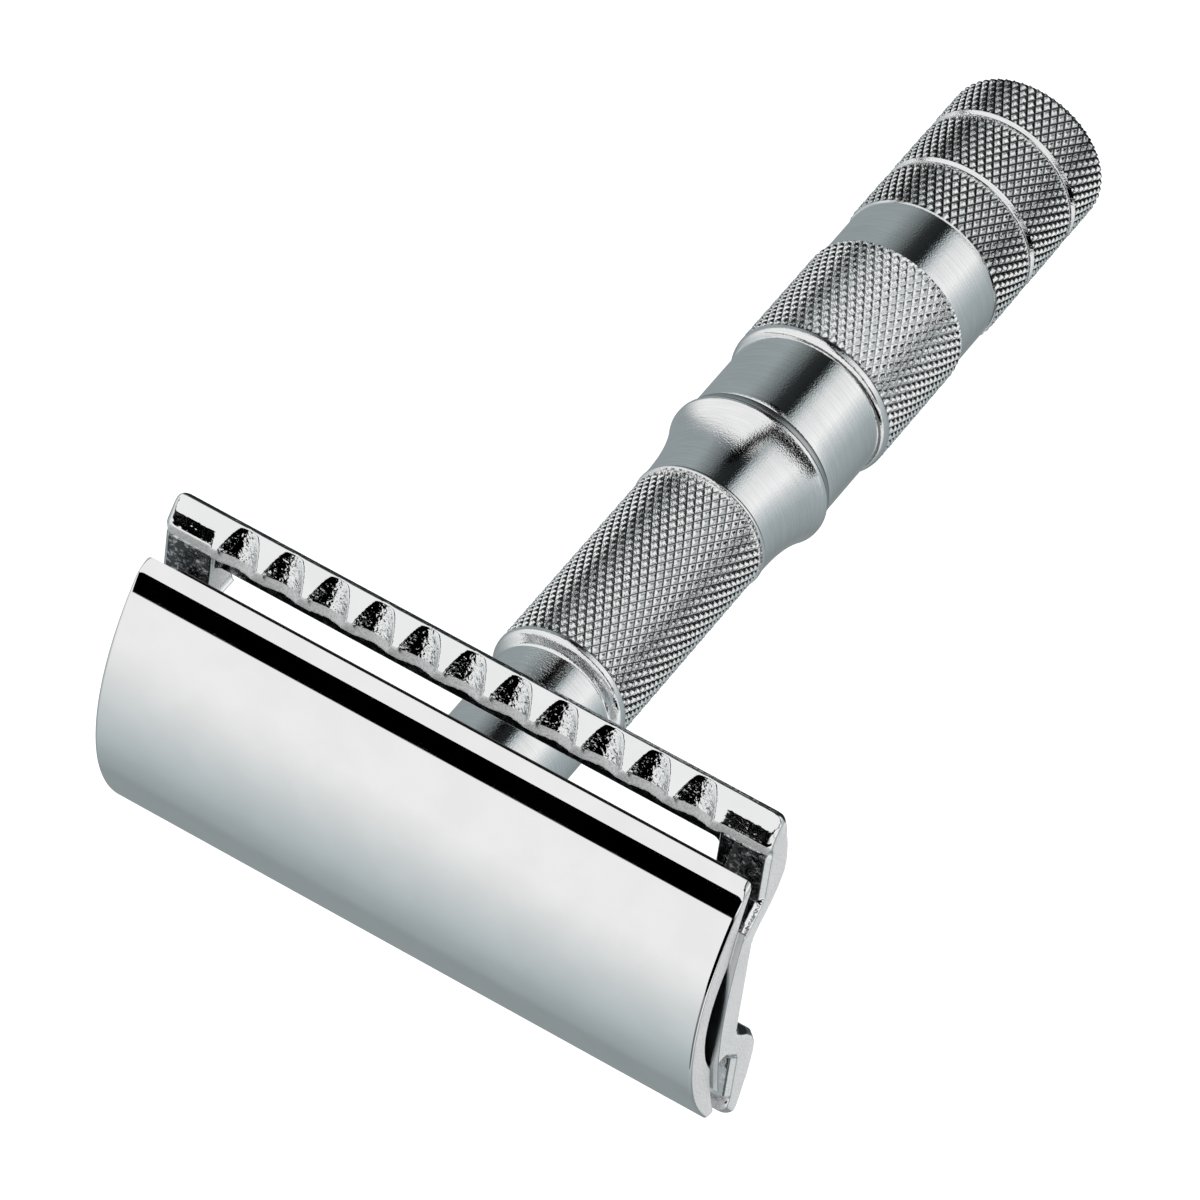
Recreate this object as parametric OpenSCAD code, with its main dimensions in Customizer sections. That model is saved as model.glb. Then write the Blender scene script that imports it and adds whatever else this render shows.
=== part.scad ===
// Three-piece double-edge safety razor on a short two-part handle.
// Frame: origin at the centre of the handle's flat end, +Z up the handle to the cap,
// +X along the head, +Y across it. Millimetres. The head is the same on both sides.

/* [Head] */
// Length of the cap and of the base plate
head_l = 42; // [41.5:0.1:42.6]
// Height of the cap's crown above the handle's end
crown_z = 75.1; // [75:0.1:76]
// Radius of the cap's crown
crown_r = 17; // [16.5:0.1:18]
// Distance between the outer faces of the cap's two lips
lip_span = 21.5; // [21.2:0.1:21.8]
// Radius of the cap's corners, seen from above
cap_corner_r = 0.4; // [0.3:0.1:1.5]
// Radius of the hollow under the crown
hollow_r = 8.9; // [8:0.1:10]
// Height of the top of the hollow
hollow_z = 73.6; // [73.4:0.05:73.7]

/* [Blade] */
// Length of a standard double-edge blade
blade_l = 42.8; // [42.5:0.1:43]
// Distance between the two edges of the bent blade
blade_w = 21.6; // [21.4:0.1:22]
// Thickness of the blade
blade_t = 0.1; // [0.08:0.01:0.12]
// Radius that the head bends the blade to, on its upper face
blade_r = 29.85; // [28:0.05:32]
// Height of the middle of the blade's upper face
blade_z = 72.55; // [72.5:0.05:72.7]
// Length of each cutting edge
edge_l = 37.4; // [37:0.1:38]
// Width of the blade's end tabs
tab_w = 14.6; // [14:0.1:15]
// Clearance between the blade and what clamps it
blade_gap = 0.05; // [0.03:0.01:0.08]

/* [Guard] */
// Distance between the outer edges of the two guards
guard_span = 27.9; // [27.7:0.1:28.2]
// Number of scallops in each guard
scallop_n = 11; // [7:2:11]
// Distance from one scallop to the next
scallop_pitch = 3.16; // [3:0.02:3.2]
// Length of each lather slot
slot_l = 35.2; // [34.8:0.1:35.6]
// Half the distance between the slots' outer walls
slot_y = 10.25; // [10.1:0.05:10.4]
// Radius of the slots' corners
slot_corner_r = 0.7; // [0.4:0.1:1]

/* [Handle] */
// Radius of the upper grip
grip_r = 4.64; // [4.5:0.01:4.8]
// Radius of the smooth neck under the head
neck_r = 3.95; // [3.8:0.01:4.2]
// Largest radius of the flare above the joint
flare_r = 5.63; // [5.5:0.01:5.7]
// Radius of the lower handle's knurled middle grip
mid_grip_r = 5.68; // [5.5:0.01:5.75]
// Radius of the lower handle's knurled end grip
end_grip_r = 5.62; // [5.5:0.01:5.7]
// Radius of the smooth band next to the joint
top_band_r = 5.26; // [5.1:0.01:5.35]
// Radius of the smooth band between the two grips
low_band_r = 5.43; // [5.2:0.01:5.5]

/* [Screws] */
// Radius of the two threaded studs
stud_r = 2.5; // [2.4:0.05:2.6]
// Pitch of the threads
thread_pitch = 0.8; // [0.7:0.1:0.9]
// Running clearance between a stud and its hole
thread_gap = 0.05; // [0.03:0.01:0.08]
// Turns that free the cap
cap_turns = 11; // [10:1:12]
// Turns that free the lower handle
handle_turns = 12; // [10:1:13]

/* [Hidden] */
$fn = 96;
EPS = 0.01;

// Heights along the handle
groove_z = [4.03, 9.22];        // the two fine grooves in the end grip
groove_w = 0.4;
groove_d = 0.28;
end_grip_top = 13.64;
mid_grip_z = 17.96;
mid_grip_top = 26.92;
band_z = 27.77;
washer_t = 0.6;
washer_r = 5.42;
joint_z = 34.4;                 // underside of the upper handle
washer_z = joint_z - washer_t;
flare_l = 6;                    // length of the flare's swell above its rim
flare_power = 2.9;              // how fast the swell dies away
grip_top = 56.3;

end_round = 0.45;
shoulder_l = 1.15;              // length of the rounded shoulder above the upper grip

// The base plate's levels
bed_z = 69.15;                  // its underside, where the neck bears on it
guard_z = 66.25;                // the lowest line of the guards
floor_z = 69;                   // the floor between a guard and the blade bed
bed_edge_y = 9.7;
bed_l = slot_l + 0.8;
slot_inner_y = 7.2;
ledge_z = 68.6;                 // the sunk ledge between a slot and its guard
ledge_y = 11.4;

// The studs
cap_stud_tip = bed_z - cap_turns * thread_pitch;
boss_z = blade_z + 0.3;         // underside of the bosses inside the cap
cap_stud_top = 74.3;
joint_stud_tip = washer_z - handle_turns * thread_pitch;
joint_stud_top = joint_z + 10.7;
hole_spare = 1.5;               // depth that a hole has beyond its stud's tip

// The locating pegs
peg_x = 14;
peg_r = 1.15;
peg_z = 70;
peg_top = 74.2;
peg_hole_gap = 0.1;

// The blade's openings
blade_slot_l = 34;
blade_slot_w = 1.9;
blade_hole_r = 3.15;
blade_peg_hole_r = 1.4;

// The guard's sloping face, and the round cutter whose axis sinks into it away from its outer edge
face_low = [guard_span / 2, 67.85];
face_top = [guard_span / 2 - 1.6, 69.35];
face_angle = atan2(face_top[1] - face_low[1], face_low[0] - face_top[0]);
cutter_r = 1.7;
cutter_start = 0.3;             // distance from the outer edge, up the face
cutter_h = 1.64;                // height of its axis over the face there
cutter_dip = 17.5;              // angle of its axis below the face
cutter_l = 4;

CHROME = [0.86, 0.88, 0.89];
SATIN = [0.74, 0.76, 0.77];
STEEL = [0.62, 0.65, 0.67];

// A cylinder along X, its axis at y = 0 and the given height
module bar(r, z, l = head_l + 10) {
    translate([0, 0, z]) rotate([0, 90, 0]) cylinder(r = r, h = l, center = true, $fn = 180);
}

// An upright block with rounded corners, centred on the given point
module rounded_block(l, w, r, z0, z1, y = 0) {
    translate([0, y, z0]) linear_extrude(z1 - z0) union() {
        square([l - 2 * r, w], center = true);
        square([l, w - 2 * r], center = true);
        for (sx = [-1, 1], sy = [-1, 1])
            translate([sx * (l / 2 - r), sy * (w / 2 - r)]) circle(r, $fn = 32);
    }
}

// A section in Y and Z drawn along X
module along_x(l) {
    rotate([90, 0, 90]) translate([0, 0, -l / 2]) linear_extrude(l) children();
}

function mirrored(points) = concat(points, [for (i = [len(points) - 1:-1:0]) [-points[i][0], points[i][1]]]);

module upright(r, z0, z1) {
    translate([0, 0, z0]) cylinder(r = r, h = z1 - z0);
}

module cap_cover() {
    color(CHROME) difference() {
        union() {
            difference() {
                intersection() {
                    bar(crown_r, crown_z - crown_r);
                    rounded_block(head_l, lip_span, cap_corner_r, blade_z - 3, crown_z + 1);
                }
                bar(blade_r + blade_gap, blade_z - blade_r);
                bar(hollow_r, hollow_z - hollow_r);
            }
            upright(4.2, boss_z, hollow_z + 0.5);
            for (x = [-peg_x, peg_x]) translate([x, 0, 0]) upright(2.1, boss_z, hollow_z + 0.5);
        }
        upright(stud_r, boss_z - 1, cap_stud_top);
        for (x = [-peg_x, peg_x]) translate([x, 0, 0]) upright(peg_r, boss_z - 1, peg_top);
    }
}

module cap_stud() {
    chamfer = 0.5;
    color(STEEL) union() {
        upright(stud_r, cap_stud_tip + chamfer, cap_stud_top);
        translate([0, 0, cap_stud_tip]) cylinder(r1 = stud_r - chamfer, r2 = stud_r, h = chamfer);
    }
}

module locating_peg(side) {
    chamfer = 0.3;
    color(CHROME) translate([side * peg_x, 0, 0]) union() {
        upright(peg_r, peg_z + chamfer, peg_top);
        translate([0, 0, peg_z]) cylinder(r1 = peg_r - chamfer, r2 = peg_r, h = chamfer);
    }
}

module left_locating_peg() { locating_peg(-1); }

module right_locating_peg() { locating_peg(1); }

module blade_outline() {
    difference() {
        union() {
            square([edge_l, blade_w], center = true);
            square([blade_l, tab_w], center = true);
        }
        square([blade_slot_l, blade_slot_w], center = true);
        circle(blade_hole_r);
        for (x = [-peg_x, peg_x]) translate([x, 0]) circle(blade_peg_hole_r, $fn = 48);
    }
}

module razor_blade() {
    color(STEEL) intersection() {
        difference() {
            bar(blade_r, blade_z - blade_r);
            bar(blade_r - blade_t, blade_z - blade_r);
        }
        translate([0, 0, blade_z - 3]) linear_extrude(4) blade_outline();
    }
}

// Outline of the base plate's two ends
module end_section() {
    polygon(mirrored([
        [4.2, bed_z], [4.9, 68.6], [5.8, 67.6], [6.8, 66.8], [8, guard_z], [9.2, guard_z],
        [10.5, 66.45], [12.4, 66.9], [guard_span / 2 - 0.4, 67.3], face_low, face_top,
        [11.6, 69.3], [11.4, floor_z], [7.3, floor_z], [5.7, 70.6], [5.6, 74]
    ]));
}

// Outline of the arched blade bed between the slots
module bed_section() {
    polygon(mirrored([[4.2, bed_z], [8, 69.5], [bed_edge_y, 70.65], [bed_edge_y, 74]]));
}

module scallop() {
    y = face_low[0] - cutter_start * cos(face_angle) + cutter_h * sin(face_angle);
    z = face_low[1] + cutter_start * sin(face_angle) + cutter_h * cos(face_angle);
    translate([0, y, z]) rotate([90 - face_angle + cutter_dip, 0, 0]) cylinder(r = cutter_r, h = cutter_l);
}

module guard_scallops() {
    last = (scallop_n - 1) / 2;
    for (side = [0, 1], i = [-last:last])
        mirror([0, side, 0]) translate([i * scallop_pitch, 0, 0]) scallop();
}

module base_plate() {
    slot_w = slot_y - slot_inner_y;
    color(CHROME) difference() {
        intersection() {
            union() {
                difference() {
                    along_x(head_l) end_section();
                    for (side = [-1, 1])
                        rounded_block(slot_l, slot_w, slot_corner_r, guard_z - 1, blade_z + 1,
                                      side * (slot_y - slot_w / 2));
                    translate([-slot_l / 2, -slot_inner_y - EPS, guard_z - 1])
                        cube([slot_l, 2 * (slot_inner_y + EPS), 9]);
                    translate([-slot_l / 2, -ledge_y, ledge_z])
                        cube([slot_l, 2 * ledge_y, 9]);
                }
                along_x(bed_l) bed_section();
            }
            bar(blade_r - blade_t - blade_gap, blade_z - blade_r);
        }
        guard_scallops();
        upright(stud_r + 0.12, bed_z - 1, blade_z + 1);
        for (x = [-peg_x, peg_x])
            translate([x, 0, 0]) upright(peg_r + peg_hole_gap, bed_z - 1, blade_z + 1);
    }
}

// Half profile of the upper handle: foot, flare, grip, shoulder and neck
module upper_handle() {
    swell = flare_r - grip_r;
    step = grip_r - neck_r;
    color(SATIN) difference() {
        rotate_extrude() polygon(concat(
            [[0, joint_z], [flare_r - 0.12, joint_z], [flare_r, joint_z + 0.12]],
            [for (t = [0:0.1:1]) [grip_r + swell * pow(1 - t, flare_power), joint_z + 0.3 + flare_l * t]],
            [for (t = [0:0.1:1]) [neck_r + step * (1 + cos(180 * pow(t, 1.5))) / 2, grip_top + shoulder_l * t]],
            [[neck_r, bed_z], [0, bed_z]]
        ));
        upright(stud_r + thread_gap, cap_stud_tip - hole_spare, bed_z + 1);
        upright(stud_r, joint_z - 1, joint_stud_top);
    }
}

module joint_stud() {
    chamfer = 0.5;
    color(STEEL) union() {
        upright(stud_r, joint_stud_tip + chamfer, joint_stud_top);
        translate([0, 0, joint_stud_tip]) cylinder(r1 = stud_r - chamfer, r2 = stud_r, h = chamfer);
    }
}

module joint_washer() {
    color(STEEL) difference() {
        upright(washer_r, washer_z, joint_z);
        upright(stud_r + 4 * thread_gap, washer_z - 1, joint_z + 1);
    }
}

// Half profile of the lower handle: rounded end, grooved end grip, band, middle grip and band
module lower_handle() {
    step = mid_grip_r - top_band_r;
    color(SATIN) difference() {
        rotate_extrude() polygon(concat(
            [[0, 0], [end_grip_r - end_round, 0]],
            [for (a = [-60:30:0]) [end_grip_r - end_round * (1 - cos(a)), end_round * (1 + sin(a))]],
            [for (z = groove_z, k = [-1:1])
                [end_grip_r - groove_d * (1 - abs(k)), z + k * groove_w / 2]],
            [[end_grip_r, end_grip_top], [low_band_r, end_grip_top], [low_band_r, mid_grip_z]],
            [[mid_grip_r, mid_grip_z + 0.15], [mid_grip_r, mid_grip_top]],
            [for (a = [30:30:90])
                [top_band_r + step * cos(a), mid_grip_top + (band_z - mid_grip_top) * sin(a)]],
            [[top_band_r, washer_z - 0.2], [top_band_r - 0.2, washer_z], [0, washer_z]]
        ));
        upright(stud_r + thread_gap, joint_stud_tip - hole_spare, washer_z + 1);
    }
}

cap_cover();
cap_stud();
left_locating_peg();
right_locating_peg();
razor_blade();
base_plate();
upper_handle();
joint_stud();
joint_washer();
lower_handle();
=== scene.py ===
"""Looks of the safety razor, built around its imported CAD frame. Lengths in the mesh code are millimetres."""
import math

import bmesh
import bpy
from mathutils import Matrix, Vector


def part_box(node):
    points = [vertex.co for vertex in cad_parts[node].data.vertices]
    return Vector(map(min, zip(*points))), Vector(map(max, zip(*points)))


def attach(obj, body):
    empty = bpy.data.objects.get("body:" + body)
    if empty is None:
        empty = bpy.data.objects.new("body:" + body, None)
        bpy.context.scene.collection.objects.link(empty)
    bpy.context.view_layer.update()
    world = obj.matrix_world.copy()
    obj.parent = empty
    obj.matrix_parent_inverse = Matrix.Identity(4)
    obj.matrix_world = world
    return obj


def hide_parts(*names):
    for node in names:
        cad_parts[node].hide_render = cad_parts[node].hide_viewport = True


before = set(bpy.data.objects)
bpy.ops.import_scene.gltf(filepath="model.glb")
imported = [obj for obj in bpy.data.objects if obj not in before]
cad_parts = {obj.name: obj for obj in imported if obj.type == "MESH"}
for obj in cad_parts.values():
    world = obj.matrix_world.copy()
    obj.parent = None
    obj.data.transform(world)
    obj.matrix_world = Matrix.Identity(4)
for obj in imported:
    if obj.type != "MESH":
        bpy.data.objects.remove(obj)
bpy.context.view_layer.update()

MM = 0.001
TAU = 2 * math.pi


def box(node):
    """Lowest and highest corner of a CAD node, in millimetres."""
    low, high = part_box(node)
    return [v / MM for v in low], [v / MM for v in high]


_, CAP_HIGH = box("cap_cover")
_, BLADE_HIGH = box("razor_blade")
_, PLATE_HIGH = box("base_plate")
STUD_LOW, STUD_HIGH = box("cap_stud")
PEG_LOW, PEG_HIGH = box("right_locating_peg")
JOINT_LOW, JOINT_HIGH = box("joint_stud")
WASHER_LOW, WASHER_HIGH = box("joint_washer")
UPPER_LOW, UPPER_HIGH = box("upper_handle")
_, LOWER_HIGH = box("lower_handle")
PEG_X = (PEG_LOW[0] + PEG_HIGH[0]) / 2

# ---------------------------------------------------------------- sizes that materials and meshes share

END_BEVEL = 0.35         # chamfer between the plate's ends and its other faces
GUARD_Y = 11.42          # the guards' inner walls, above the ledges
LEDGE_Z = 68.6
LAND_X = 17.5            # the guards' plain end lands lie beyond this
RIM_UP, RIM_IN = 0.61, 0.79          # direction that the guards' inner rims face
RIM_EDGE = RIM_UP * 69.35 - RIM_IN * 12.5        # where a rim begins, measured in that direction
RECESS_TOP, RECESS_SIDE = 69.1, 7.1  # the plate's recesses lie below and beyond these
FACE_RUN, FACE_RISE = 1.6, 1.5       # slope of the guards' outer faces
FACE_TILT = math.atan2(FACE_RISE, FACE_RUN)
FACE_FOOT = 67.85
FACE_LEVEL = PLATE_HIGH[1] * math.sin(FACE_TILT) + FACE_FOOT * math.cos(FACE_TILT)

KNURL_FLANK = 0.42       # width of a groove's side, in pitches
KNURL_STEPS = 6          # mesh steps in one knurl pitch, both ways
KNURL_DEPTH = 0.2
GRIP_R, MID_GRIP_R, END_GRIP_R = 4.64, 5.68, 5.62

# ---------------------------------------------------------------- camera

CAMERA_AT = Vector((-0.155007, -0.408892, 0.375674))
CAMERA_RIGHT = Vector((-0.84447, -0.09707, -0.52673))
CAMERA_UP = Vector((0.45226, -0.65607, -0.60418))
CAMERA_BACK = Vector((-0.28693, -0.74843, 0.59793))
LENS_MM = 270.9


def make_camera():
    data = bpy.data.cameras.new("camera")
    data.sensor_width = 36
    data.lens = LENS_MM
    data.clip_start, data.clip_end = 0.05, 50
    camera = bpy.data.objects.new("camera", data)
    turn = Matrix((CAMERA_RIGHT, CAMERA_UP, CAMERA_BACK)).transposed()
    camera.matrix_world = Matrix.Translation(CAMERA_AT) @ turn.to_4x4()
    bpy.context.scene.collection.objects.link(camera)
    bpy.context.scene.camera = camera


# ---------------------------------------------------------------- shader helpers


class Nodes:
    """Short calls that add shader nodes to one tree."""

    def __init__(self, tree):
        self.tree = tree
        tree.nodes.clear()

    def add(self, kind, inputs=(), **settings):
        node = self.tree.nodes.new("ShaderNode" + kind)
        for key, value in settings.items():
            setattr(node, key, value)
        for key, value in dict(inputs).items():
            self.put(node.inputs[key], value)
        return node

    def put(self, socket, value):
        if isinstance(value, bpy.types.NodeSocket):
            self.tree.links.new(value, socket)
        else:
            socket.default_value = value

    def math(self, operation, *values):
        return self.add("Math", enumerate(values), operation=operation).outputs[0]

    def product(self, first, *others):
        for value in others:
            first = self.math("MULTIPLY", first, value)
        return first

    def less(self, value):
        """1 less the value."""
        return self.math("SUBTRACT", 1.0, value)

    def split(self, vector):
        return self.add("SeparateXYZ", {0: vector}).outputs

    def noise(self, place, scale, detail, **more):
        return self.add("TexNoise", {"Vector": place, "Scale": scale, "Detail": detail, **more}).outputs[0]

    def ease(self, value, start, end, low=0.0, high=1.0):
        """low up to start, high from end, and a smooth step between."""
        span = {0: value, 1: start, 2: end, 3: low, 4: high}
        return self.add("MapRange", span, interpolation_type="SMOOTHSTEP").outputs[0]

    def window(self, value, low, high, soft):
        """1 between low and high, 0 outside."""
        rise = self.ease(value, low - soft, low + soft)
        fall = self.ease(value, high - soft, high + soft, 1.0, 0.0)
        return self.product(rise, fall)

    def ramp(self, value, stops):
        """A colour ramp; stops are (position, red, green, blue)."""
        node = self.add("ValToRGB", {0: value})
        elements = node.color_ramp.elements
        while len(elements) < len(stops):
            elements.new(0.5)
        for element, stop in zip(elements, stops):
            element.position = stop[0]
        for element, stop in zip(elements, stops):
            element.color = (*stop[1:], 1)
        return node.outputs[0]

    def mix(self, factor, first, second):
        node = self.add("Mix", {0: factor, 6: first, 7: second}, data_type="RGBA")
        return node.outputs[2]


def grey(level):
    """A studio grey: neutral when light, a little cool in the middle."""
    cool = 1 - min(1, max(0, (level - 0.45) / 0.35))
    return (level * (1 - 0.12 * cool), level, level * (1 + 0.03 * cool))


# ---------------------------------------------------------------- studio

STUDIO_FRONT = Vector((CAMERA_AT.x, CAMERA_AT.y)).normalized()
STUDIO_SIDE = Vector((STUDIO_FRONT.y, -STUDIO_FRONT.x))
FLOOR_SIDE = 6.0
FLOOR_GAP = 0.2
FLOOR_Z = (JOINT_LOW[2] - WASHER_LOW[2] - FLOOR_GAP) * MM     # below the unscrewed lower handle

# Greys as (place, level). The back's run from straight down to straight up, and the low ones round the
# horizon from one side of the rear to the other.
BACK_GREYS = ((0.2, 0.27), (0.41, 0.25), (0.49, 0.3), (0.53, 0.33), (0.6, 0.4), (0.67, 0.5), (0.71, 0.56),
              (0.78, 0.66), (0.85, 0.79), (0.885, 0.86))
LOW_GREYS = ((0.02, 0.32), (0.3, 0.34), (0.37, 0.17), (0.41, 0.03), (0.478, 0.01), (0.492, 0.4), (0.53, 0.76),
             (0.62, 0.92), (0.67, 0.62), (0.73, 0.42), (0.8, 0.35), (0.9, 0.26), (1.0, 0.3))
CEILING_GREY, PIT_GREY = 0.86, 0.02

# Dark things. The strip, panel and wing hang overhead, and their edges are x / z and y / z of a direction.
# The streak and card stand in front, and their edges are degrees up from the horizon and round from the
# front.
STRIP_Y = (-0.423, -0.222)
PANEL_X, PANEL_FALL, PANEL_SLOPE = (-3.6, 0.24), (-0.4, 0.4), 0.3
WING_X, WING_Y, WING_DARK = (-1.0, 0.1), (0.2, 2.2), 0.75
STREAK_RISE, STREAK_LEAN, STREAK_SLOPE = (-32, 4), (-19, -5), 0.62
CARD_RISE, CARD_TURN = (1, 13), (-14, 64)
OVERHEAD_Z = 0.2         # the overhead things end at this height of a direction


def make_world():
    """Soft studio surroundings, by direction: a light ceiling and a grey back and surround, with a dark strip
    and panel and a grey wing overhead, and a dark streak and card in front. The camera sees plain white."""
    world = bpy.data.worlds.new("studio")
    bpy.context.scene.world = world
    world.use_nodes = True
    g = Nodes(world.node_tree)
    x, y, z = g.split(g.add("TexCoord").outputs["Generated"])
    front, side = (g.math("ADD", g.product(x, way.x), g.product(y, way.y))
                   for way in (STUDIO_FRONT, STUDIO_SIDE))
    turn = g.math("DEGREES", g.math("ARCTAN2", side, front))
    rise = g.math("DEGREES", g.math("ARCSINE", z))

    back = g.ramp(g.math("DIVIDE", g.math("ADD", rise, 90), 180), [(at, *grey(v)) for at, v in BACK_GREYS])
    low = g.ramp(g.math("DIVIDE", g.math("ADD", turn, 180), 360), [(at, *grey(v)) for at, v in LOW_GREYS])
    low = g.mix(g.ease(rise, -56, -46), (*grey(PIT_GREY), 1), low)
    ahead = g.ease(g.math("ABSOLUTE", turn), 100, 150, 1.0, 0.0)
    high = g.mix(ahead, back, (*grey(CEILING_GREY), 1))
    limit = g.ease(turn, -12, 0, -18.0, 4.0)
    above = g.ease(g.math("SUBTRACT", rise, limit), -4, 4)
    light = g.mix(above, low, high)

    overhead = g.math("GREATER_THAN", z, OVERHEAD_Z)
    over_x, over_y = g.math("DIVIDE", x, z), g.math("DIVIDE", y, z)
    strip = g.product(g.window(over_y, *STRIP_Y, 0.004), overhead)
    fall = g.math("ADD", over_y, g.product(over_x, PANEL_SLOPE))
    panel = g.product(g.window(over_x, *PANEL_X, 0.03), g.window(fall, *PANEL_FALL, 0.05))
    wing = g.product(g.window(over_x, *WING_X, 0.1), g.window(over_y, *WING_Y, 0.1), WING_DARK)
    panel = g.product(g.math("MAXIMUM", panel, wing), overhead)
    lean = g.math("SUBTRACT", turn, g.product(rise, STREAK_SLOPE))
    streak = g.product(g.window(rise, *STREAK_RISE, 3), g.window(lean, *STREAK_LEAN, 4))
    card = g.product(g.window(rise, *CARD_RISE, 1), g.window(turn, *CARD_TURN, 3))
    dark = g.math("MAXIMUM", g.math("MAXIMUM", strip, streak), g.math("MAXIMUM", card, panel))
    light = g.mix(dark, light, (0, 0, 0, 1))

    plain = g.add("Background", {"Color": (1, 1, 1, 1)}).outputs[0]
    lit = g.add("Background", {"Color": light}).outputs[0]
    seen = g.add("LightPath").outputs["Is Camera Ray"]
    out = g.add("MixShader", {0: seen, 1: lit, 2: plain})
    g.add("OutputWorld", {"Surface": out.outputs[0]})


def make_floor():
    """A pale floor, just below the unscrewed lower handle's lowest point. The metal doesn't mirror it."""
    mesh = bpy.data.meshes.new("floor")
    half = FLOOR_SIDE / 2
    corners = [(x, y, FLOOR_Z) for x, y in ((-half, -half), (half, -half), (half, half), (-half, half))]
    mesh.from_pydata(corners, [], [(0, 1, 2, 3)])
    floor = bpy.data.objects.new("floor", mesh)
    bpy.context.scene.collection.objects.link(floor)
    material = bpy.data.materials.new("pale_floor")
    material.use_nodes = True
    g = Nodes(material.node_tree)
    bsdf = g.add("BsdfPrincipled", {
        "Base Color": (0.9, 0.9, 0.9, 1), "Roughness": 0.9, "Specular IOR Level": 0.0,
        "Emission Color": (1, 1, 1, 1), "Emission Strength": 0.8})
    g.add("OutputMaterial", {"Surface": bsdf.outputs[0]})
    mesh.materials.append(material)
    floor.visible_glossy = False


# ---------------------------------------------------------------- materials


SANDED_ROUGH = 0.5
SANDED_DULL = 0.8        # how far a sanded finish stops being a metal's
MICRON = 1e-6


def metal(name, colour, rough, spread=0.02, lines=0.0, grain=0.0, grain_mm=0.3, zones=None):
    """Chrome or steel. lines is the depth of fine turned lines round Z and grain that of a cast or plated
    texture, in micrometres. zones is a function over the place in millimetres that returns three factors: how
    far the grain shows, how far painted shade darkens the tone, and how far it is sanded instead of polished."""
    material = bpy.data.materials.new(name)
    material.use_nodes = True
    g = Nodes(material.node_tree)
    metres = g.add("TexCoord").outputs["Object"]
    place = g.add("VectorMath", {0: metres, "Scale": 1 / MM}, operation="SCALE").outputs[0]
    cloud = g.noise(place, 0.35, 3.0)
    roughness = g.ease(cloud, 0.3, 0.7, rough - spread, rough + spread)
    tone = g.ease(cloud, 0.35, 0.65, 0.97, 1.0)
    inputs = {"Metallic": 1.0}
    show, painted_shade, sanded = zones(g, place) if zones else (None, None, None)
    shift = None
    if lines:
        stretched = g.add("VectorMath", {0: place, 1: (0.35, 0.35, 14.0)}, operation="MULTIPLY").outputs[0]
        fine = g.noise(stretched, 1.0, 4.0, Roughness=0.7)
        shift = g.add("Bump", {"Height": fine, "Distance": lines * MICRON, "Strength": 1.0}).outputs[0]
        tone = g.product(tone, g.ease(fine, 0.35, 0.65, 0.9, 1.03))
    if grain:
        lumps = g.noise(place, 1 / grain_mm, 1.5)
        bump = {"Height": lumps, "Distance": grain * MICRON, "Strength": 1.0 if show is None else show}
        if shift is not None:
            bump["Normal"] = shift
        shift = g.add("Bump", bump).outputs[0]
    # painted shade: the zones' second factor darkens the tone where shade would fall
    if painted_shade is not None:
        tone = g.product(tone, painted_shade)
    if sanded is not None:
        speck = g.noise(place, 7.0, 3.0)
        tone = g.product(tone, g.less(g.product(sanded, g.ease(speck, 0.35, 0.62, 0.2, 0.0))))
        roughness = g.math("ADD", roughness, g.product(sanded, SANDED_ROUGH - rough))
        inputs["Metallic"] = g.less(g.product(sanded, SANDED_DULL))
    inputs["Base Color"] = g.mix(tone, (0, 0, 0, 1), (*colour, 1))
    inputs["Roughness"] = roughness
    if shift is not None:
        inputs["Normal"] = shift
    bsdf = g.add("BsdfPrincipled", inputs)
    g.add("OutputMaterial", {"Surface": bsdf.outputs[0]})
    return material


def end_faces(g):
    """1 on faces that look along X."""
    facing = g.split(g.add("NewGeometry").outputs["Normal"])[0]
    return g.ease(g.math("ABSOLUTE", facing), 0.9, 0.97)


def cap_zones(g, place):
    """The cap is polished but for its sanded end faces."""
    return None, None, end_faces(g)


def knurl_groove_shade_zones(crest):
    """Zones of a knurl whose crests are at the given radius: painted shade darkens its grooves towards their
    bottoms.
    """
    def zones(g, place):
        x, y, _ = g.split(place)
        radius = g.math("SQRT", g.math("ADD", g.product(x, x), g.product(y, y)))
        # painted shade, darkest in the groove bottoms
        return None, g.ease(radius, crest - KNURL_DEPTH, crest - 0.7 * KNURL_DEPTH, 0.1, 1.0), None
    return zones


def blade_edge_shade_zones(g, place):
    """The blade's ground edges are darker than its flat: painted shade, the thin shadow line along the edges
    under the cap's lip.
    """
    across = g.math("ABSOLUTE", g.split(place)[1])
    # painted shade along the ground edges
    return None, g.ease(across, BLADE_HIGH[1] - 0.7, BLADE_HIGH[1] - 0.5, 1.0, 0.12), None


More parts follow.
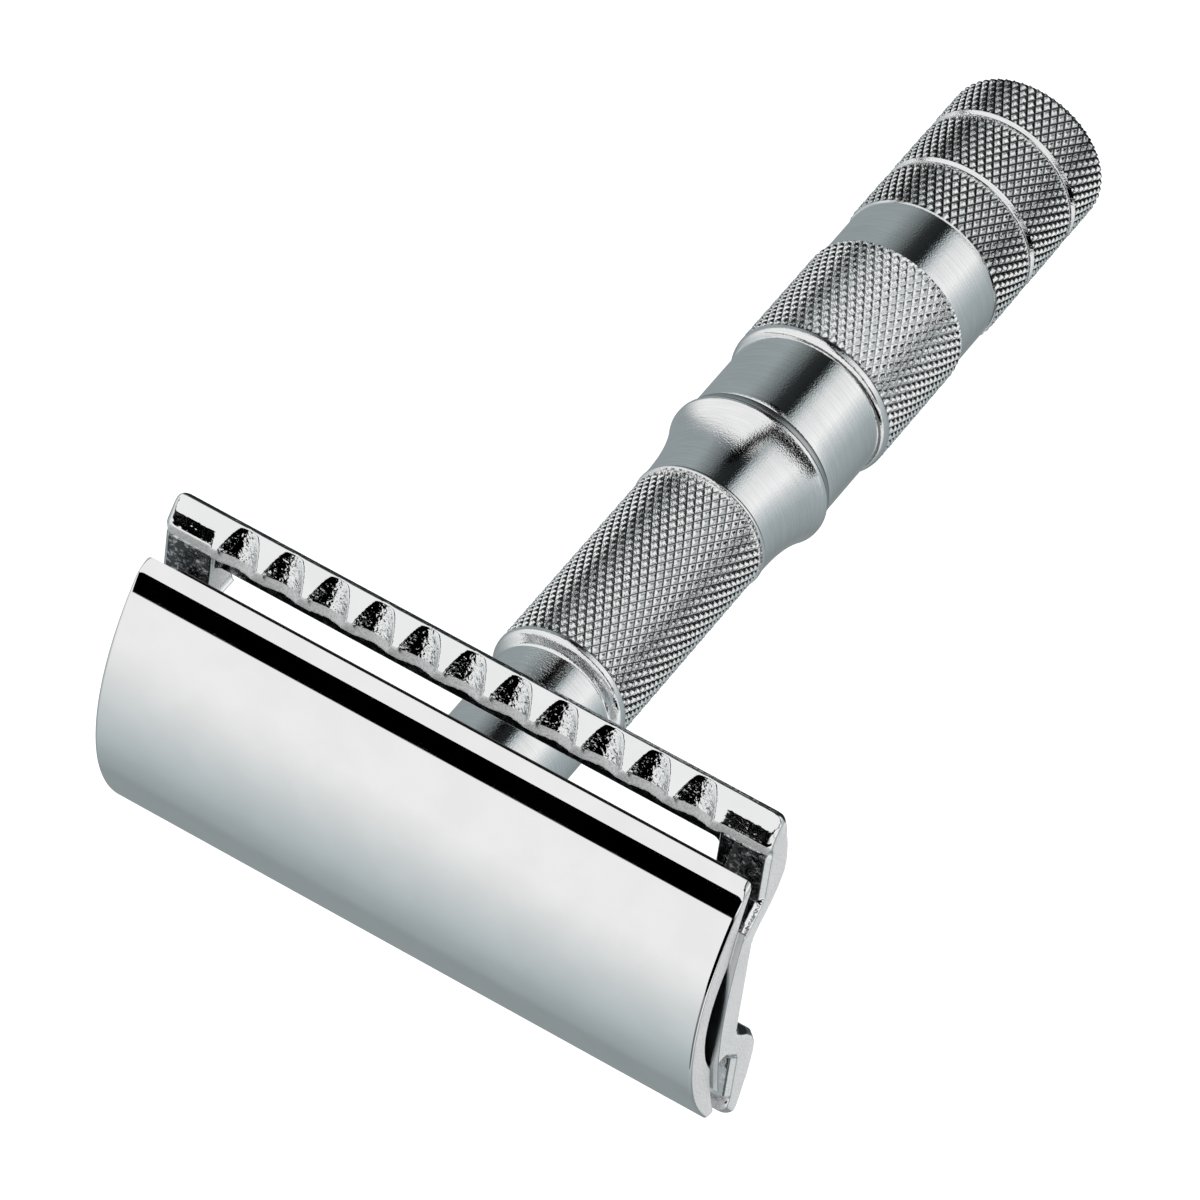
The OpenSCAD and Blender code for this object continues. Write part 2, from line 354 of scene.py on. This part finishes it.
def plate_zones(g, place):
    """The plate is as cast in the guards' notches, with painted shade in speckles there and in blotches in its
    recesses, sanded at its ends and on the guards' inner rims, and polished elsewhere."""
    x, y, z = g.split(place)
    along, across = g.math("ABSOLUTE", x), g.math("ABSOLUTE", y)
    up = g.split(g.add("NewGeometry").outputs["Normal"])[2]
    level = g.math("ADD", g.product(across, math.sin(FACE_TILT)), g.product(z, math.cos(FACE_TILT)))
    inward = g.math("SUBTRACT", g.product(z, RIM_UP), g.product(across, RIM_IN))
    rim = g.ease(inward, RIM_EDGE - 0.03, RIM_EDGE + 0.03)
    guard = g.ease(across, GUARD_Y - 0.04, GUARD_Y)

    inner = g.ease(along, LAND_X + 0.1, LAND_X + 0.3, 1.0, 0.0)
    notch = g.product(g.ease(g.math("SUBTRACT", FACE_LEVEL, level), 0.03, 0.12), guard, inner, g.less(rim))
    # painted shade in the notches, broken into speckles
    notch_shade_speckles = g.noise(place, 5.0, 2.0)

    # painted shade in the recesses, in blotches
    recess_shade = g.product(g.less(guard), g.ease(z, RECESS_TOP, RECESS_TOP + 0.1, 1.0, 0.0),
                       g.ease(up, 0.85, 0.95), g.ease(across, RECESS_SIDE, RECESS_SIDE + 0.2),
                       g.ease(y, 0, 1, 1.0, 0.35))
    recess_shade_blotches = g.noise(place, 2.0, 5.0, Roughness=0.7)
    dark = g.product(recess_shade, g.ease(recess_shade_blotches, 0.5, 0.62, 0.92, 0.4))
    dark = g.math("MAXIMUM", dark, g.product(notch, g.ease(notch_shade_speckles, 0.3, 0.42, 0.8, 0.0)))

    show = g.math("MAXIMUM", notch, g.ease(along, LAND_X, LAND_X + 0.3, 0.1, 0.18))
    rim = g.product(rim, guard, g.ease(up, 0.6, 0.75, 0.0, 1.12))
    return show, g.less(dark), g.math("MAXIMUM", end_faces(g), rim)


# ---------------------------------------------------------------- mesh helpers


def new_object(name, vertices, faces, materials, picks=None, sharp_deg=35):
    """An object from millimetres."""
    mesh = bpy.data.meshes.new(name)
    mesh.from_pydata([(x * MM, y * MM, z * MM) for x, y, z in vertices], [], faces)
    return finish_object(name, mesh, materials, picks, sharp_deg)


def finish_object(name, mesh, materials, picks=None, sharp_deg=35):
    """Smooth-shaded object of a mesh. picks gives each face's material, and edges sharper than sharp_deg stay
    crisp."""
    for material in materials:
        mesh.materials.append(material)
    if picks is not None:
        mesh.polygons.foreach_set("material_index", picks)
    mesh.polygons.foreach_set("use_smooth", [True] * len(mesh.polygons))
    if sharp_deg is not None:
        mesh.set_sharp_from_angle(angle=math.radians(sharp_deg))
    mesh.validate()
    mesh.update()
    item = bpy.data.objects.new(name, mesh)
    bpy.context.scene.collection.objects.link(item)
    return item


WELD = 0.0005            # distance at which vertices count as one


def weld(mesh, distance):
    """Joins vertices that lie closer together than the distance."""
    b = bmesh.new()
    b.from_mesh(mesh)
    bmesh.ops.remove_doubles(b, verts=b.verts, dist=distance)
    b.to_mesh(mesh)
    b.free()


def arc(centre_y, centre_z, radius, start, end, steps):
    """Points of an arc in degrees, as pairs."""
    turns = [math.radians(start + (end - start) * k / steps) for k in range(steps + 1)]
    return [(centre_y + radius * math.cos(t), centre_z + radius * math.sin(t)) for t in turns]


def lathe(name, rows, columns, materials, sharp_deg=35):
    """A turned piece. A row is (radius, height, material) or, where knurled, also (starts, phase, depth)."""
    vertices, faces, picks, rings = [], [], [], []
    for row in rows:
        radius, height = row[:2]
        if radius == 0:
            rings.append([len(vertices)])
            vertices.append((0, 0, height))
            continue
        ring = []
        for i in range(columns):
            a = TAU * i / columns
            r = radius
            if len(row) > 3:
                starts, phase, depth = row[3:]
                r -= depth * (1 - knurl(starts * i / columns, phase))
            ring.append(len(vertices))
            vertices.append((r * math.cos(a), r * math.sin(a), height))
        rings.append(ring)
    for j in range(len(rings) - 1):
        low, high = rings[j], rings[j + 1]
        for i in range(columns):
            k = (i + 1) % columns
            if len(low) == 1:
                made = [(low[0], high[k], high[i])]
            elif len(high) == 1:
                made = [(low[i], low[k], high[0])]
            elif len(rows[j]) > 3 and len(rows[j + 1]) > 3:
                starts, phase = rows[j][3:5]
                step = rows[j + 1][4] - phase
                across = starts * (i + 0.5) / columns
                along = phase + step / 2
                if groove(across - along) < groove(across + along):
                    made = [(low[i], low[k], high[k]), (low[i], high[k], high[i])]
                else:
                    made = [(low[i], low[k], high[i]), (low[k], high[k], high[i])]
            else:
                made = [(low[i], low[k], high[k], high[i])]
            faces += made
            picks += [rows[j][2]] * len(made)
    return new_object(name, vertices, faces, materials, picks, sharp_deg)


def groove(t):
    """Distance from the nearest groove of one hand, in pitches."""
    return abs(t - round(t))


def knurl(across, along):
    """Height of a diamond knurl, from 0 in a groove to 1 on a crest."""
    return min(1, groove(across + along) / KNURL_FLANK, groove(across - along) / KNURL_FLANK)


TURNED, KNURLED = 0, 1   # places of the materials on a handle


def knurled_rows(radius, low, high, starts, rounding=0.0, ends=0.12):
    """Rows of a knurled stretch, a little lower at both ends, or rounded over at its low end."""
    pitch = TAU * radius / starts * math.sqrt(3)
    count = round((high - low) / pitch * KNURL_STEPS)
    rows = []
    if not rounding:
        rows = [(radius - KNURL_DEPTH, low, KNURLED), (radius - ends, low + 0.01, KNURLED)]
    for j in range(1, count):
        rise = (high - low) * j / count
        drop = 0.0
        if rise < rounding:
            drop = rounding - math.sqrt(rounding ** 2 - (rounding - rise) ** 2)
        rows.append((radius - drop, low + rise, KNURLED, starts, j / KNURL_STEPS, KNURL_DEPTH))
    rows += [(radius - ends, high - 0.01, TURNED), (radius - KNURL_DEPTH, high, TURNED)]
    return rows


# ---------------------------------------------------------------- head

CAP_HALF_L = CAP_HIGH[0]
CAP_HALF_W = CAP_HIGH[1]
CROWN_R = 17.0
BEND_R = 29.85           # radius that the head bends the blade to
CLAMP_R = BEND_R + 0.05
HOLLOW_R = 8.9
HOLLOW_DROP = 1.5        # from the crown to the top of the hollow
LIP_W = 0.45
LIP_FOOT = 0.06
LIP_LEAN = 0.11          # how far the lip's edge leans in from upright
END_R = 0.2              # rounding of the cap's end edges
CORNER_R = 0.45          # and of its corners, seen from above
ARCH_STEPS, LIP_STEPS = 44, 8        # mesh steps from the crown to the lip, and round the lip
BOSS_R, PEG_BOSS_R = 4.2, 2.1
BOSS_FOOT = 0.3          # from the blade's top to the bosses' feet


def cap_height(y, inset):
    """Heights of the cap's outside and inside over y, with the whole section inset by the given amount."""
    top = CAP_HIGH[2] - CROWN_R + math.sqrt((CROWN_R - inset) ** 2 - y * y)
    clamp = BLADE_HIGH[2] - BEND_R + math.sqrt((CLAMP_R + inset) ** 2 - y * y)
    hollow_r = HOLLOW_R + inset
    if abs(y) < hollow_r:
        clamp = max(clamp, CAP_HIGH[2] - HOLLOW_DROP - HOLLOW_R + math.sqrt(hollow_r ** 2 - y * y))
    return top, clamp


def cap_section(half_w, inset):
    """Outside and inside points across half of the cap, equally many. The lip rolls over to an upright
    edge."""
    edge = half_w - inset
    start = edge - LIP_W
    outer, inner = [], []
    for k in range(ARCH_STEPS + 1):
        y = start * math.sin(math.pi / 2 * k / ARCH_STEPS)
        top, under = cap_height(y, inset)
        outer.append((y, top))
        inner.append((y, under))
    corner = top - (LIP_W - LIP_LEAN) * start / math.sqrt(CROWN_R ** 2 - start ** 2)
    foot = cap_height(edge, inset)[1]
    for k in range(1, LIP_STEPS + 1):
        t = k / LIP_STEPS
        rest, turn, end = (1 - t) ** 2, 2 * t * (1 - t), t * t
        outer.append((rest * start + turn * (edge - LIP_LEAN) + end * edge,
                      rest * top + turn * corner + end * (foot + LIP_FOOT)))
        inner.append((edge - LIP_W * (1 - t), foot + (under - foot) * (1 - t) + LIP_FOOT * t ** 6))
    return outer, inner


def make_cap(materials):
    """The cap: its section swept along X, with rounded ends and corners, and the bosses inside it."""
    stations = []
    for k in range(5):
        a = math.radians(22.5 * k)
        stations.append((-CAP_HALF_L + END_R * (1 - math.cos(a)), END_R * (1 - math.sin(a))))
    for k in range(1, 7):
        x = -CAP_HALF_L + CORNER_R * (1 - math.cos(math.radians(15 * k)))
        if x > stations[-1][0] + 0.01:
            stations.append((x, 0.0))
    middle = [(-CAP_HALF_L + 2 + (2 * CAP_HALF_L - 4) * k / 16, 0.0) for k in range(17)]
    stations = stations + middle + [(-x, inset) for x, inset in reversed(stations)]
    vertices, faces, loops = [], [], []
    for x, inset in stations:
        reach = max(0.0, abs(x) - (CAP_HALF_L - CORNER_R))
        half_w = CAP_HALF_W - (CORNER_R - math.sqrt(max(0.0, CORNER_R ** 2 - reach ** 2)))
        outer, inner = cap_section(half_w, inset)
        across = list(reversed([(-y, z) for y, z in outer[1:]])) + outer
        under = list(reversed([(-y, z) for y, z in inner[1:]])) + inner
        base = len(vertices)
        vertices += [(x, y, z) for y, z in across] + [(x, y, z) for y, z in under]
        loops.append((base, len(across)))
    for (a, n), (b, _) in zip(loops, loops[1:]):
        for k in range(n - 1):
            faces.append((a + k, b + k, b + k + 1, a + k + 1))
            faces.append((a + n + k, a + n + k + 1, b + n + k + 1, b + n + k))
    for (a, n), turn in ((loops[0], False), (loops[-1], True)):
        for k in range(n - 1):
            quad = (a + k, a + k + 1, a + n + k + 1, a + n + k)
            faces.append(quad[::-1] if turn else quad)
    mesh = bpy.data.meshes.new("cap_shell")
    mesh.from_pydata(vertices, [], faces)
    weld(mesh, WELD)
    mesh.transform(Matrix.Scale(MM, 4))
    shell = finish_object("cap_shell", mesh, materials, sharp_deg=40)
    foot = BLADE_HIGH[2] + BOSS_FOOT
    top = CAP_HIGH[2] - HOLLOW_DROP + 0.4        # hidden inside the cap's wall
    for name, x, radius in (("centre_boss", 0, BOSS_R), ("left_boss", -PEG_X, PEG_BOSS_R),
                            ("right_boss", PEG_X, PEG_BOSS_R)):
        rows = [(0, foot + 0.02, 0), (radius - 0.25, foot, 0), (radius - 0.08, foot + 0.07, 0),
                (radius, foot + 0.25, 0), (radius, top, 0), (0, top, 0)]
        boss = lathe(name, rows, 48, materials)
        boss.data.transform(Matrix.Translation((x * MM, 0, 0)))
        boss.parent = shell
    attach(shell, "cap")
    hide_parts("cap_cover")


def in_millimetres(node):
    """A copy of a CAD node's mesh, scaled to millimetres and with its faces joined up."""
    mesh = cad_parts[node].data.copy()
    mesh.transform(Matrix.Scale(1 / MM, 4))
    mesh.materials.clear()
    weld(mesh, WELD)
    return mesh


def evaluated(mesh, modifiers):
    """The mesh after a list of (type, settings) modifiers."""
    item = bpy.data.objects.new("work", mesh)
    bpy.context.scene.collection.objects.link(item)
    for kind, settings in modifiers:
        modifier = item.modifiers.new(kind, kind)
        for key, value in settings.items():
            setattr(modifier, key, value)
    depsgraph = bpy.context.evaluated_depsgraph_get()
    result = bpy.data.meshes.new_from_object(item.evaluated_get(depsgraph))
    bpy.data.objects.remove(item)
    return result


WEDGE_CLEAR, WEDGE_FAR = 0.1, 0.5    # how far a wedge's near and far corners stand off the faces
WEDGE_REACH = 0.02       # how far it runs past its edge's ends
LAND_ROLL = 0.38
VOXEL = 0.09


def end_wedges(mesh):
    """One three-sided bar along each rim edge of the plate's two end faces, which cuts a chamfer there."""
    b = bmesh.new()
    b.from_mesh(mesh)
    vertices, faces = [], []
    for edge in b.edges:
        if len(edge.link_faces) != 2 or any(abs(abs(v.co.x) - PLATE_HIGH[0]) > 0.01 for v in edge.verts):
            continue
        side, end = sorted(edge.link_faces, key=lambda face: abs(face.normal.x))
        if abs(side.normal.x) > 0.5 or abs(end.normal.x) < 0.99:
            continue
        out = Vector((0, side.normal.y, side.normal.z)).normalized()
        along = Vector((math.copysign(1, edge.verts[0].co.x), 0, 0))
        start, stop = (v.co for v in edge.verts)
        reach = (stop - start).normalized() * WEDGE_REACH
        inset = END_BEVEL + WEDGE_CLEAR
        base = len(vertices)
        for point in (start - reach, stop + reach):
            vertices += [point - along * inset + out * WEDGE_CLEAR, point - out * inset + along * WEDGE_CLEAR,
                         point + along * WEDGE_FAR + out * WEDGE_FAR]
        for face in ((0, 1, 2), (3, 5, 4), (0, 3, 4, 1), (1, 4, 5, 2), (2, 5, 3, 0)):
            faces.append([base + k for k in face])
    b.free()
    wedges = bpy.data.meshes.new("wedges")
    wedges.from_pydata(vertices, [], faces)
    b = bmesh.new()
    b.from_mesh(wedges)
    bmesh.ops.recalc_face_normals(b, faces=b.faces)
    b.to_mesh(wedges)
    b.free()
    return wedges


def cut(mesh, cutter_mesh, **settings):
    """The mesh less the cutter."""
    cutter = bpy.data.objects.new("cutter", cutter_mesh)
    bpy.context.scene.collection.objects.link(cutter)
    settings.update(operation="DIFFERENCE", solver="EXACT", object=cutter)
    result = evaluated(mesh, [("BOOLEAN", settings)])
    bpy.data.objects.remove(cutter)
    return result


def round_guards(mesh):
    """Rolls the guards' end lands over towards their inner rims, and eases the rims."""
    b = bmesh.new()
    b.from_mesh(mesh)
    for v in b.verts:
        x, y = abs(v.co.x), abs(v.co.y)
        if x > LAND_X and v.co.z > FACE_FOOT and y > GUARD_Y - 0.04:
            share = min(1, (PLATE_HIGH[1] - y) / FACE_RUN)
            v.co.z -= LAND_ROLL * max(0, share - 0.5) * min(1, (x - LAND_X) / 0.3)
    inner = [v for v in b.verts if GUARD_Y - 0.1 < abs(v.co.y) < GUARD_Y + 0.3 and v.co.z > LEDGE_Z + 0.1]
    outer = [v for v in b.verts if abs(v.co.x) > PLATE_HIGH[0] - 0.7 and abs(v.co.y) > GUARD_Y - 0.3]
    for near, passes in ((inner, 3), (outer, 12)):
        for _ in range(passes):
            bmesh.ops.smooth_vert(b, verts=near, factor=0.5,
                                  use_axis_x=True, use_axis_y=True, use_axis_z=True)
    b.to_mesh(mesh)
    b.free()
    return mesh


def make_plate(materials):
    """The base plate: the cast solid with softened edges."""
    solid = in_millimetres("base_plate")
    cast = evaluated(cut(solid, end_wedges(solid), use_self=True), [
        ("REMESH", {"mode": "VOXEL", "voxel_size": VOXEL, "adaptivity": 0.0}),
        ("SMOOTH", {"factor": 0.5, "iterations": 3}),
    ])
    soft = evaluated(round_guards(cast), [("DECIMATE", {"ratio": 0.2})])
    soft.transform(Matrix.Scale(MM, 4))
    plate = finish_object("guard_plate", soft, materials, sharp_deg=None)
    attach(plate, "plate")
    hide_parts("base_plate")


BLADE_T = 0.1
GROUND_W, EDGE_SHARE = 0.55, 0.06    # width of the ground edge, and the share of the thickness it ends in
TAB_X, TAB_Y = 18.7, 7.3             # the corners are cut away beyond these
PAST_X, PAST_Y = 23, 12              # and up to these, past the blade
SLOT_X, SLOT_R = 17, 0.95            # half length and half width of the long slot
STUD_HOLE_R, PEG_HOLE_R = 3.15, 1.4


def prism(outline, low, high):
    """An upright prism, with its faces outwards whichever way its outline runs."""
    n = len(outline)
    if sum(x0 * y1 - x1 * y0 for (x0, y0), (x1, y1) in zip(outline, outline[1:] + outline[:1])) < 0:
        outline = outline[::-1]
    vertices = [(x, y, low) for x, y in outline] + [(x, y, high) for x, y in outline]
    faces = [tuple(range(n))[::-1], tuple(range(n, 2 * n))]
    faces += [(k, (k + 1) % n, n + (k + 1) % n, n + k) for k in range(n)]
    mesh = bpy.data.meshes.new("prism")
    mesh.from_pydata(vertices, [], faces)
    return mesh


def make_blade(materials):
    """The bent blade: ground edges, end tabs and the openings for the stud and pegs."""
    half_l, half_w, top = BLADE_HIGH
    across = [-half_w + GROUND_W * k / 4 for k in range(5)]
    across += [(-half_w + GROUND_W) + 2 * (half_w - GROUND_W) * k / 40 for k in range(1, 40)]
    across += [half_w - GROUND_W * k / 4 for k in range(4, -1, -1)]
    vertices, faces = [], []
    columns = 44
    for i in range(columns + 1):
        x = -half_l + 2 * half_l * i / columns
        for y in across:
            z = top - BEND_R + math.sqrt(BEND_R * BEND_R - y * y)
            taper = min(1, (half_w - abs(y)) / GROUND_W)
            half = BLADE_T / 2 * max(EDGE_SHARE, taper)
            vertices += [(x, y, z - BLADE_T / 2 + half), (x, y, z - BLADE_T / 2 - half)]
    n = len(across)

    def at(i, j, side):
        return 2 * (i * n + j) + side

    for i in range(columns):
        for j in range(n - 1):
            faces.append((at(i, j, 0), at(i + 1, j, 0), at(i + 1, j + 1, 0), at(i, j + 1, 0)))
            faces.append((at(i, j, 1), at(i, j + 1, 1), at(i + 1, j + 1, 1), at(i + 1, j, 1)))
        faces.append((at(i, 0, 0), at(i, 0, 1), at(i + 1, 0, 1), at(i + 1, 0, 0)))
        faces.append((at(i, n - 1, 0), at(i + 1, n - 1, 0), at(i + 1, n - 1, 1), at(i, n - 1, 1)))
    for i in (0, columns):
        for j in range(n - 1):
            quad = (at(i, j, 0), at(i, j + 1, 0), at(i, j + 1, 1), at(i, j, 1))
            faces.append(quad if i == 0 else quad[::-1])
    sheet = bpy.data.meshes.new("sheet")
    sheet.from_pydata(vertices, [], faces)
    corner = ((TAB_X, PAST_Y), (TAB_X, TAB_Y), (PAST_X, TAB_Y), (PAST_X, PAST_Y))
    cutters = [[(sx * a, sy * b) for a, b in corner] for sx in (-1, 1) for sy in (-1, 1)]
    end = SLOT_X - SLOT_R
    cutters.append(arc(end, 0, SLOT_R, -90, 90, 12) + arc(-end, 0, SLOT_R, 90, 270, 12))
    cutters.append(arc(0, 0, STUD_HOLE_R, 0, 352.5, 47))
    cutters += [arc(x, 0, PEG_HOLE_R, 0, 345, 23) for x in (-PEG_X, PEG_X)]
    for outline in cutters:
        sheet = cut(sheet, prism(outline, top - 4, top + 1))
    sheet.transform(Matrix.Scale(MM, 4))
    blade = finish_object("bent_blade", sheet, materials, sharp_deg=25)
    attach(blade, "blade")
    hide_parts("razor_blade")


# ---------------------------------------------------------------- threads and handle


THREAD_PITCH, THREAD_DEPTH, THREAD_CHAMFER = 0.8, 0.42, 0.5
THREAD_SHAPE = (0.0, 0.2, 0.6, 1.0, 1.0, 0.8, 0.4, 0.0)      # depth over one pitch
CAP_THREAD_CUT = 0.1     # end of the cap's thread below the CAD stud's, inside the cap, which closes the mesh


def thread(name, body, node, low, high, radius, materials):
    """A threaded stud whose rows follow the helix."""
    columns, steps = 32, len(THREAD_SHAPE)
    vertices, faces = [], []
    count = round((high - low) / THREAD_PITCH * steps) + steps
    for j in range(count + 1):
        for i in range(columns):
            a = TAU * i / columns
            z = low - THREAD_PITCH + THREAD_PITCH * j / steps + THREAD_PITCH * i / columns
            z = min(max(z, low), high)
            r = radius - THREAD_DEPTH * THREAD_SHAPE[j % steps]
            r = min(r, radius - THREAD_CHAMFER + (z - low))
            vertices.append((r * math.cos(a), r * math.sin(a), z))
    for j in range(count):
        for i in range(columns - 1):
            a, b = j * columns + i, (j + 1) * columns + i
            faces.append((a, a + 1, b + 1, b))
    for j in range(count - steps):
        a, b = j * columns + columns - 1, (j + steps) * columns
        faces.append((a, b, b + columns, a + columns))
    mesh = bpy.data.meshes.new(name)
    mesh.from_pydata(vertices, [], faces)
    b = bmesh.new()
    b.from_mesh(mesh)
    bmesh.ops.remove_doubles(b, verts=b.verts, dist=0.001)
    bmesh.ops.dissolve_degenerate(b, edges=b.edges, dist=WELD)
    bmesh.ops.holes_fill(b, edges=[e for e in b.edges if e.is_boundary], sides=0)
    bmesh.ops.triangulate(b, faces=[f for f in b.faces if len(f.verts) > 4])
    bmesh.ops.recalc_face_normals(b, faces=b.faces)
    b.to_mesh(mesh)
    b.free()
    mesh.transform(Matrix.Scale(MM, 4))
    stud = finish_object(name, mesh, materials, sharp_deg=30)
    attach(stud, body)
    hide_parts(node)


NECK_R = 3.95
HOLE_R = 2.55            # tapped holes
HOLE_CHAMFER = 0.25
HOLE_SPARE = 1.5         # how far a hole runs on past its stud
FLARE_L, FLARE_POWER = 6.0, 2.9
UPPER_STARTS, LOWER_STARTS = 48, 58  # grooves of one hand round a knurl
UPPER_GRIP = (6.05, 21.9)            # ends of the grip, above the handle's rim
SHOULDER_H = 1.03


def hole_rows(top, stud_tip):
    """Rows of a tapped hole, from its mouth down past the stud's tip to the drill's cone."""
    bore = stud_tip - HOLE_SPARE
    return [(HOLE_R + HOLE_CHAMFER, top, TURNED), (HOLE_R, top - HOLE_CHAMFER, TURNED),
            (HOLE_R, bore, TURNED), (0, bore - 0.6, TURNED)]


def make_upper_handle(materials):
    """Upper handle: rim, flare, knurled grip, rounded shoulder and neck."""
    base, top, rim_r = UPPER_LOW[2], UPPER_HIGH[2], UPPER_HIGH[0]
    grip_low, grip_high = base + UPPER_GRIP[0], base + UPPER_GRIP[1]
    rows = [(0, base, TURNED), (rim_r - 0.3, base, TURNED)]
    for t in (0.3, 0.8, 1.3):
        rows.append((rim_r - 0.1 + 0.1 * math.sin(t), base + 0.12 - 0.12 * math.cos(t), TURNED))
    rows.append((rim_r, base + 0.16, TURNED))
    for k in range(31):
        t = 0.9 * (k / 30) ** 1.3
        rows.append((GRIP_R + (rim_r - GRIP_R) * (1 - t) ** FLARE_POWER, base + 0.3 + FLARE_L * t, TURNED))
    rows += [(GRIP_R, grip_low - 0.22, TURNED), (GRIP_R + 0.06, grip_low - 0.14, TURNED),
             (GRIP_R + 0.07, grip_low - 0.02, TURNED), (GRIP_R + 0.02, grip_low + 0.08, TURNED)]
    rows += knurled_rows(GRIP_R, grip_low + 0.12, grip_high, UPPER_STARTS)
    rows += [(GRIP_R - 0.06, grip_high + 0.03, TURNED), (GRIP_R - 0.02, grip_high + 0.09, TURNED)]
    for k in range(13):
        t = k / 12
        share = (1 + math.cos(math.pi * t ** 1.5)) / 2
        rows.append((NECK_R + (GRIP_R - 0.02 - NECK_R) * share, grip_high + 0.12 + SHOULDER_H * t, TURNED))
    rows += [(NECK_R, top - 0.12, TURNED), (NECK_R - 0.12, top, TURNED)] + hole_rows(top, STUD_LOW[2])
    handle = lathe("upper_grip", rows, UPPER_STARTS * KNURL_STEPS, materials)
    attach(handle, "handle")
    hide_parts("upper_handle")


TOP_BAND_R, LOW_BAND_R = 5.26, 5.43
FINE_GROOVES = (4.03, 9.22)
GROOVE_HALF_W, GROOVE_DEPTH = 0.26, 0.24
END_ROUND = 0.45
END_GRIP_TOP = 13.6
MID_GRIP = (17.98, 26.95)
EDGE_H = 27.08           # start of the rounded edge above the middle grip


def make_lower_handle(materials):
    """Lower handle: end grip with two fine grooves, smooth band, knurled middle grip and smooth band."""
    top = LOWER_HIGH[2]
    rows = [(0, 0, TURNED), (END_GRIP_R - END_ROUND, 0, TURNED)]
    low = 0.0
    for z in FINE_GROOVES:
        rounding = END_ROUND if z == FINE_GROOVES[0] else 0
        rows += knurled_rows(END_GRIP_R, low, z - GROOVE_HALF_W, LOWER_STARTS, rounding)
        for dz, drop in ((-0.23, 0.05), (-0.04, GROOVE_DEPTH), (0.04, GROOVE_DEPTH), (0.23, 0.05)):
            rows.append((END_GRIP_R - drop, z + dz, TURNED))
        low = z + GROOVE_HALF_W
    rows += knurled_rows(END_GRIP_R, low, END_GRIP_TOP, LOWER_STARTS)
    rows += [(LOW_BAND_R, z, TURNED) for z in (END_GRIP_TOP + 0.06, 14.2, 17.4, MID_GRIP[0] - 0.05)]
    rows += knurled_rows(MID_GRIP_R, *MID_GRIP, LOWER_STARTS)
    rows += [(MID_GRIP_R - 0.06, MID_GRIP[1] + 0.05, TURNED), (MID_GRIP_R - 0.03, EDGE_H, TURNED)]
    for k in range(1, 9):
        t = math.radians(90 * k / 8)
        radius = TOP_BAND_R + (MID_GRIP_R - 0.03 - TOP_BAND_R) * math.cos(t)
        rows.append((radius, EDGE_H + 0.66 * math.sin(t), TURNED))
    rows += [(TOP_BAND_R, z, TURNED) for z in (28.0, 29.0, top - 0.6, top - 0.2)]
    rows += [(TOP_BAND_R - 0.06, top - 0.06, TURNED), (TOP_BAND_R - 0.2, top, TURNED)]
    rows += hole_rows(top, JOINT_LOW[2])
    handle = lathe("lower_grip", rows, LOWER_STARTS * KNURL_STEPS, materials)
    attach(handle, "lower_grip")
    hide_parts("lower_handle")


WASHER_HOLE_R = 2.7
WASHER_EASE = 0.12


def make_washer(materials):
    """The thin ring in the joint, with eased edges."""
    low, high, outer = WASHER_LOW[2], WASHER_HIGH[2], WASHER_HIGH[0]
    ease = WASHER_EASE
    profile = [(WASHER_HOLE_R, low), (outer - ease, low), (outer - 0.3 * ease, low + 0.3 * ease),
               (outer, low + ease), (outer, high - ease), (outer - 0.3 * ease, high - 0.3 * ease),
               (outer - ease, high), (WASHER_HOLE_R, high), (WASHER_HOLE_R, low)]
    ring = lathe("joint_ring", [(r, z, TURNED) for r, z in profile], 144, materials)
    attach(ring, "washer")
    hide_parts("joint_washer")


# ---------------------------------------------------------------- everything

make_camera()
make_world()
make_floor()
bpy.context.scene.view_settings.view_transform = "Standard"

MIRROR = metal("mirror_chrome", (0.97, 0.97, 0.97), 0.025, spread=0.01, zones=cap_zones)
CAST = metal("cast_chrome", (0.96, 0.965, 0.97), 0.07, spread=0.03, grain=84, grain_mm=0.28,
             zones=plate_zones)
SATIN = metal("turned_chrome", (0.97, 0.972, 0.975), 0.07, spread=0.02, lines=2.5, grain=9, grain_mm=0.1)
THREAD = metal("thread_steel", (0.7, 0.71, 0.72), 0.2, lines=1.0)
STEEL = metal("blade_steel", (0.75, 0.76, 0.77), 0.14, grain=2.0, grain_mm=0.1, zones=blade_edge_shade_zones)
RING = metal("ring_steel", (0.55, 0.57, 0.58), 0.3, lines=1.5)
UPPER_KNURL = metal("upper_knurl", (0.99, 0.99, 0.99), 0.1, spread=0.03, grain=24, grain_mm=0.12,
                    zones=knurl_groove_shade_zones(GRIP_R))
LOWER_KNURL = metal("lower_knurl", (0.99, 0.99, 0.99), 0.1, spread=0.03, grain=24, grain_mm=0.12,
                    zones=knurl_groove_shade_zones((MID_GRIP_R + END_GRIP_R) / 2))

make_cap([MIRROR])
make_plate([CAST])
make_blade([STEEL])
thread("cap_thread", "cap", "cap_stud", STUD_LOW[2], STUD_HIGH[2] - CAP_THREAD_CUT, STUD_HIGH[0], [THREAD])
thread("joint_thread", "handle", "joint_stud", JOINT_LOW[2], JOINT_HIGH[2], JOINT_HIGH[0], [THREAD])
make_upper_handle([SATIN, UPPER_KNURL])
make_lower_handle([SATIN, LOWER_KNURL])
make_washer([RING])
for peg in ("left_locating_peg", "right_locating_peg"):
    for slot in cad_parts[peg].material_slots:
        slot.material = MIRROR
